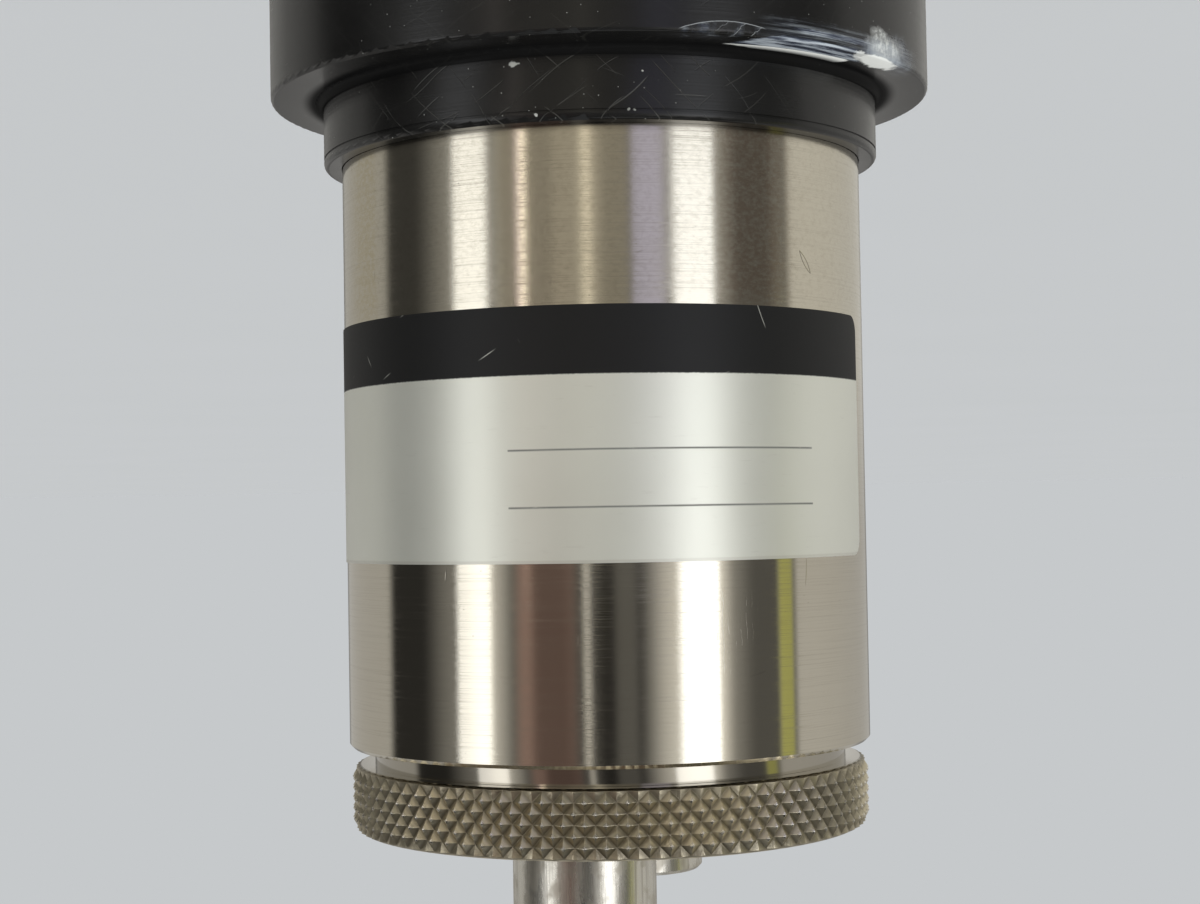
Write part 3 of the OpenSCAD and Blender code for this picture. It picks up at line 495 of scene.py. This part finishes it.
def moulded(name, dark, light, roughness, grain):
    """Moulded, dipped or laminated stuff with a fine uneven surface."""
    p = Paint(name)
    tone = p.noise((grain, grain, grain), detail=4, roughness=0.6)
    skin = p.noise((5.0, 5.0, 5.0), detail=2, shift=7)
    return p.finish(
        p.mix(tone, dark, light), roughness + 0.1 * skin, normal=p.bump(skin * 0.6 + tone * 0.4, 0.01)
    )


def clear_glass():
    p = Paint("clear_glass")
    ripple = p.noise((0.3, 0.3, 0.12), detail=2)
    haze = p.noise((0.8, 0.8, 0.8), detail=3, shift=5)
    return p.finish(
        p.mix(haze, (0.90, 0.95, 0.95), (0.97, 0.99, 0.99)), 0.02 + 0.04 * haze,
        normal=p.bump(ripple, 0.02), Transmission_Weight=1.0, IOR=1.5,
    )


def layered_board():
    """Green laminate over woven glass."""
    p = Paint("board_laminate")
    weave = abs((p.x * 1.6).math("SINE")) * abs((p.y * 1.6).math("SINE"))
    tone = p.noise((0.4, 0.4, 0.4), detail=3)
    colour = p.mix(tone * 0.6 + weave * 0.3, (0.05, 0.17, 0.07), (0.12, 0.30, 0.14))
    return p.finish(colour, 0.32 + 0.1 * tone, normal=p.bump(weave, 0.008))


finishes = {
    "black_acetal": black_acetal(),
    "turned_steel": turned_steel(),
    "label_foil": label_foil(),
    "knurled_metal": knurled_metal(),
    "jack_nickel": worn_nickel(),
    "clear_glass": clear_glass(),
    "board_laminate": layered_board(),
    "shield_alloy": plain_metal("shield_alloy", (0.36, 0.37, 0.38), (0.48, 0.49, 0.50), 0.38, 0.3),
    "electrode_nickel": plain_metal(
        "electrode_nickel", (0.52, 0.52, 0.51), (0.66, 0.65, 0.63), 0.26, 0.6
    ),
    "contact_brass": plain_metal("contact_brass", (0.62, 0.47, 0.20), (0.76, 0.62, 0.32), 0.25, 0.8),
    "screw_steel": plain_metal("screw_steel", (0.5, 0.5, 0.5), (0.66, 0.66, 0.66), 0.28, 0.9),
    "black_rubber": moulded("black_rubber", (0.012, 0.012, 0.012), (0.03, 0.03, 0.03), 0.62, 0.8),
    "insulating_paper": moulded("insulating_paper", (0.22, 0.12, 0.05), (0.36, 0.21, 0.10), 0.5, 0.5),
    "cathode_film": moulded("cathode_film", (0.16, 0.10, 0.035), (0.30, 0.20, 0.09), 0.16, 0.2),
    "cage_ceramic": moulded("cage_ceramic", (0.70, 0.67, 0.58), (0.82, 0.80, 0.73), 0.55, 0.7),
    "base_phenolic": moulded("base_phenolic", (0.03, 0.018, 0.012), (0.07, 0.04, 0.028), 0.4, 0.6),
    "resistor_coat": moulded("resistor_coat", (0.44, 0.30, 0.15), (0.58, 0.43, 0.25), 0.24, 0.7),
    "capacitor_coat": moulded("capacitor_coat", (0.45, 0.17, 0.03), (0.60, 0.27, 0.07), 0.2, 0.6),
    "jack_insulator": moulded("jack_insulator", (0.72, 0.69, 0.61), (0.84, 0.82, 0.76), 0.42, 0.8),
    "lead_white": moulded("lead_white", (0.66, 0.65, 0.61), (0.78, 0.77, 0.74), 0.42, 0.9),
    "lead_red": moulded("lead_red", (0.34, 0.03, 0.02), (0.48, 0.06, 0.05), 0.4, 0.9),
    "lead_green": moulded("lead_green", (0.05, 0.17, 0.04), (0.10, 0.26, 0.08), 0.4, 0.9),
}

slot_of = {part["node"]: part["material_slot"] for part in frame["record"]["subparts"]}
for name, piece in nodes.items():
    piece.data.materials.clear()
    piece.data.materials.append(finishes[slot_of[name]])


def soften_edges(name, width):
    """Breaks a node's sharp edges, as plating and handling do."""
    bevel = nodes[name].modifiers.new("bevel", "BEVEL")
    bevel.width = width * MM
    bevel.segments = 2
    bevel.limit_method = "ANGLE"
    bevel.angle_limit = math.radians(25)


def shade_round(crease_deg):
    """A modifier's node sheet that joins loose triangles and shades all but the sharp edges smoothly."""
    sheet = bpy.data.node_groups.new("shade_round", "GeometryNodeTree")
    sheet.interface.new_socket("Geometry", in_out="INPUT", socket_type="NodeSocketGeometry")
    sheet.interface.new_socket("Geometry", in_out="OUTPUT", socket_type="NodeSocketGeometry")
    given = sheet.nodes.new("NodeGroupInput")
    joined = sheet.nodes.new("GeometryNodeMergeByDistance")
    joined.inputs["Distance"].default_value = 1e-6
    angle = sheet.nodes.new("GeometryNodeInputMeshEdgeAngle")
    sharp = sheet.nodes.new("FunctionNodeCompare")
    sharp.operation = "GREATER_THAN"
    sharp.inputs["B"].default_value = math.radians(crease_deg)
    shaded = sheet.nodes.new("GeometryNodeSetMeshNormal")
    shaded.inputs["Remove Custom"].default_value = True
    shaded.inputs["Face Sharpness"].default_value = False
    result = sheet.nodes.new("NodeGroupOutput")
    sheet.links.new(given.outputs[0], joined.inputs["Geometry"])
    sheet.links.new(joined.outputs["Geometry"], shaded.inputs["Mesh"])
    sheet.links.new(angle.outputs["Unsigned Angle"], sharp.inputs["A"])
    sheet.links.new(sharp.outputs["Result"], shaded.inputs["Edge Sharpness"])
    sheet.links.new(shaded.outputs["Mesh"], result.inputs[0])
    return sheet


turned_nodes = ("front_barrel", "case_tube", "rear_cap", "signal_jack", "hv_jack")
round_sheet = shade_round(crease_deg=35)
for name in turned_nodes:
    nodes[name].modifiers.new("shade_round", "NODES").node_group = round_sheet
soften_edges("rear_cap", width=0.035)
for name in turned_nodes:
    # The wide flats keep their own shading beside the narrow roundings.
    nodes[name].modifiers.new("flats", "WEIGHTED_NORMAL").keep_sharp = True


def show_on_stage(name, bm, material):
    mesh = bpy.data.meshes.new(name)
    bm.to_mesh(mesh)
    bm.free()
    mesh.materials.append(material)
    piece = bpy.data.objects.new(name, mesh)
    bpy.context.scene.collection.objects.link(piece)
    return piece


def for_gloss_only(card):
    """A card that polished surfaces mirror, and that neither lights nor shades anything."""
    card.visible_camera = False
    card.visible_diffuse = False
    card.visible_shadow = False
    card.visible_transmission = False


def glowing(paint, colour, strength):
    lit = paint.add("VectorMath", {"operation": "SCALE"}, Vector=colour, Scale=strength)
    glow = paint.add("Emission", Color=lit.outputs["Vector"], Strength=1.0)
    paint.add("OutputMaterial", Surface=glow.outputs["Emission"])
    return paint.material


def lay_floor():
    """A round sheet of plain pale paper."""
    floor_r = 8.0
    p = Paint("floor_paper")
    drift = p.noise((0.004, 0.004, 0.004), detail=2)
    colour = p.mix(drift, (0.655, 0.678, 0.69), (0.675, 0.695, 0.71))
    paper = p.finish(colour, 0.9, Specular_IOR_Level=0.0)
    bm = bmesh.new()
    bmesh.ops.create_circle(bm, cap_ends=True, radius=floor_r, segments=96)
    show_on_stage("floor", bm, paper)


def toward(azimuth, distance, height):
    """A point around the case: azimuth 0 is in front, positive to the picture's right."""
    a = math.radians(azimuth)
    return Vector((-math.sin(a) * distance, -math.cos(a) * distance, height))


def dim_room():
    """What polished metal mirrors: a dim room in front, with pale gaps in it, and pale walls behind.

    Spans are in degrees around the case, and each span's factor is its radiance. The case hangs
    flange up in the picture, so its upper half there mirrors the low part of the room.
    """
    p = Paint("dim_room")
    turn = p.turn()
    raised = p.rise(p.z, 55, 110)
    sunk = p.rise(p.z, 22, 8)

    gap = p.band(turn, -33.5, -31.3, 0.7)
    lilac = p.band(turn, 13, 27, 1.2)
    upper = 0.05 + 0.26 * p.hump(turn, -86, -64, -44, -40) + 0.27 * p.band(turn, -43, 12, 2)
    upper = upper + 2.3 * gap + 0.12 * p.band(turn, -20, 0, 2) + 0.8 * p.band(turn, -7.6, -4.4, 2.2)
    upper = upper + 0.55 * lilac + 0.3 * p.hump(turn, 26, 30, 48, 60) + 0.1 * p.rise(turn, 72, 82)
    upper = upper + 0.09 * p.band(turn, 52, 84, 5)

    russet = p.band(turn, -37, -13, 2.5)
    slit = p.band(turn, -9.8, -7.2, 0.7)
    lime = p.band(turn, 77, 84, 1.4)
    lower = 0.03 + 0.2 * p.hump(turn, -84, -66, -48, -44) + 0.5 * p.hump(turn, -62, -52, -46, -35)
    lower = lower + 0.11 * russet + 0.17 * p.band(turn, -37, -30, 2.5) + 0.62 * slit
    lower = lower + 0.05 * p.band(turn, -16, -4, 3) + 0.10 * p.band(turn, 3, 13, 2)
    lower = lower + 0.8 * p.hump(turn, 12, 31, 46, 56) + 0.3 * p.hump(turn, 28, 40, 48, 66)
    lower = lower + 0.08 * p.band(turn, 54, 78, 4) + 0.42 * lime + 0.2 * sunk

    right_wall = (0.54 - 0.10 * p.rise(turn, 95, 145)) * p.rise(turn, 83, 88)
    left_wall = (0.38 + 0.07 * raised) * p.rise(turn, -101, -107)
    corner = p.rise(abs(turn), 155, 163) * (0.45 * p.rise(abs(turn), 167, 173) - 0.22)
    behind = right_wall + left_wall + corner

    warm = p.mix(p.band(turn, -43, 12, 2), (1.0, 0.98, 0.92), (1.0, 0.93, 0.78))
    rosy = p.mix(p.band(turn, -35.0, -33.0, 0.6), warm, (1.0, 0.82, 0.92))
    cooled = p.mix(lilac, rosy, (0.95, 0.93, 1.2))
    tanned = p.mix(russet, (1.0, 0.98, 0.94), (1.0, 0.69, 0.61))
    limed = p.mix(lime, tanned, (1.0, 1.0, 0.35))
    colour = p.mix(raised, cooled, limed)
    return glowing(p, colour, upper * (1 - raised) + lower * raised + behind)


def spin_card(name, ends, material):
    """A card that a short line sweeps right around the case."""
    bm = bmesh.new()
    first, last = (bm.verts.new(end) for end in ends)
    edge = bm.edges.new((first, last))
    bmesh.ops.spin(
        bm, geom=[first, last, edge], cent=(0, 0, 0), axis=(0, 0, 1),
        angle=2 * math.pi, steps=128, use_merge=True, use_duplicate=False,
    )
    for_gloss_only(show_on_stage(name, bm, material))


def surround_with_cards():
    """The room's walls and floor, and a dim ring overhead for the upper slopes of polished pieces.

    Sizes are in metres.
    """
    wall_r, wall_h, foot = 0.34, 0.36, 0.0015
    ceiling_h, hole_r, ceiling_r = 0.42, 0.125, 0.55
    room = dim_room()
    spin_card("room_walls", ((0, wall_r, foot), (0, wall_r, wall_h)), room)
    spin_card("room_floor", ((0, 0.03, foot), (0, wall_r, foot)), room)
    p = Paint("dim_ceiling")
    ceiling = glowing(p, (1.0, 0.97, 0.92), 0.05 + 0.35 * p.rise(abs(p.turn()), 80, 110))
    spin_card("room_ceiling", ((0, hole_r, ceiling_h), (0, ceiling_r, ceiling_h)), ceiling)


def set_strip_light(name, azimuth, spread, radiance, colour):
    """A tall soft box, mirrored by polished pieces, that spans an angle as seen from the case."""
    distance, foot, top = 0.32, 0.004, 0.20
    width = 2 * distance * math.tan(math.radians(spread / 2))
    middle = (foot + top) / 2
    light = bpy.data.lights.new(name, "AREA")
    light.shape = "RECTANGLE"
    light.size, light.size_y = width, top - foot
    light.energy = radiance * math.pi * width * (top - foot)
    light.color = colour
    lamp = bpy.data.objects.new(name, light)
    lamp.location = toward(azimuth, distance, middle)
    lamp.rotation_mode = "QUATERNION"
    lamp.rotation_quaternion = (lamp.location - Vector((0, 0, middle))).to_track_quat("Z", "Y")
    lamp.visible_camera = False
    lamp.visible_diffuse = False
    bpy.context.scene.collection.objects.link(lamp)


def hang_soft_sky(azimuth, elevation, floor_level):
    """A very wide lamp far off, which gives the floor one even level and the object a soft shadow."""
    softness_deg = 75
    light = bpy.data.lights.new("soft_sky", "SUN")
    light.angle = math.radians(softness_deg)
    light.energy = floor_level * math.pi / math.sin(math.radians(elevation))
    lamp = bpy.data.objects.new("soft_sky", light)
    spread = math.cos(math.radians(elevation))
    lamp.location = toward(azimuth, spread, math.sin(math.radians(elevation)))
    lamp.rotation_mode = "QUATERNION"
    lamp.rotation_quaternion = lamp.location.to_track_quat("Z", "Y")
    lamp.visible_glossy = False
    bpy.context.scene.collection.objects.link(lamp)


def light_room(level, seen):
    """Even light of one level, which the camera and polished pieces see as a pale backdrop."""
    world = bpy.data.worlds.new("room")
    world.use_nodes = True
    sheet = NodeSheet(world.node_tree)
    path = sheet.add("LightPath")
    shown = Value(sheet, path.outputs["Is Camera Ray"])
    for kind in ("Is Glossy Ray", "Is Transmission Ray"):
        shown = shown.high(path.outputs[kind])
    background = world.node_tree.nodes["Background"]
    sheet.plug(background.inputs["Color"], sheet.mix(shown, (level,) * 3, seen))
    bpy.context.scene.world = world


def aim_camera():
    """The photograph's camera, rolled half over because the case hangs flange up in the picture."""
    image_w = 1200
    focal_px = 2074.8
    distance = 147.2
    level = collar_end + 24.45
    yaw, pitch, roll = (math.radians(v) for v in (-0.142, 1.711, -0.985))
    flat_ahead = Vector((math.sin(yaw), math.cos(yaw), 0))
    ahead = flat_ahead * math.cos(pitch) + Vector((0, 0, math.sin(pitch)))
    flat_right = Vector((math.cos(yaw), -math.sin(yaw), 0))
    flat_up = flat_right.cross(ahead)
    right = flat_right * math.cos(roll) + flat_up * math.sin(roll)
    up = flat_up * math.cos(roll) - flat_right * math.sin(roll)
    half_turn = Matrix.Rotation(math.pi, 3, "Y")
    columns = [half_turn @ v for v in (right, up, -ahead)]
    camera = bpy.data.cameras.new("camera")
    camera.sensor_width = 36.0
    camera.lens = focal_px / image_w * camera.sensor_width
    camera.clip_start, camera.clip_end = 0.01, 50.0
    holder = bpy.data.objects.new("camera", camera)
    place = Matrix.Translation((0, -distance * MM, level * MM))
    holder.matrix_world = place @ Matrix(columns).transposed().to_4x4()
    bpy.context.scene.collection.objects.link(holder)
    bpy.context.scene.camera = holder


lay_floor()
surround_with_cards()
set_strip_light("left_strip", azimuth=-56.0, spread=16, radiance=1.34, colour=(0.98, 1.0, 1.04))
set_strip_light("right_strip", azimuth=38.8, spread=18, radiance=1.4, colour=(0.96, 1.0, 1.1))
hang_soft_sky(azimuth=14, elevation=48, floor_level=0.72)
light_room(level=0.13, seen=(0.565, 0.584, 0.597))
aim_camera()
bpy.context.scene.view_settings.view_transform = "Standard"
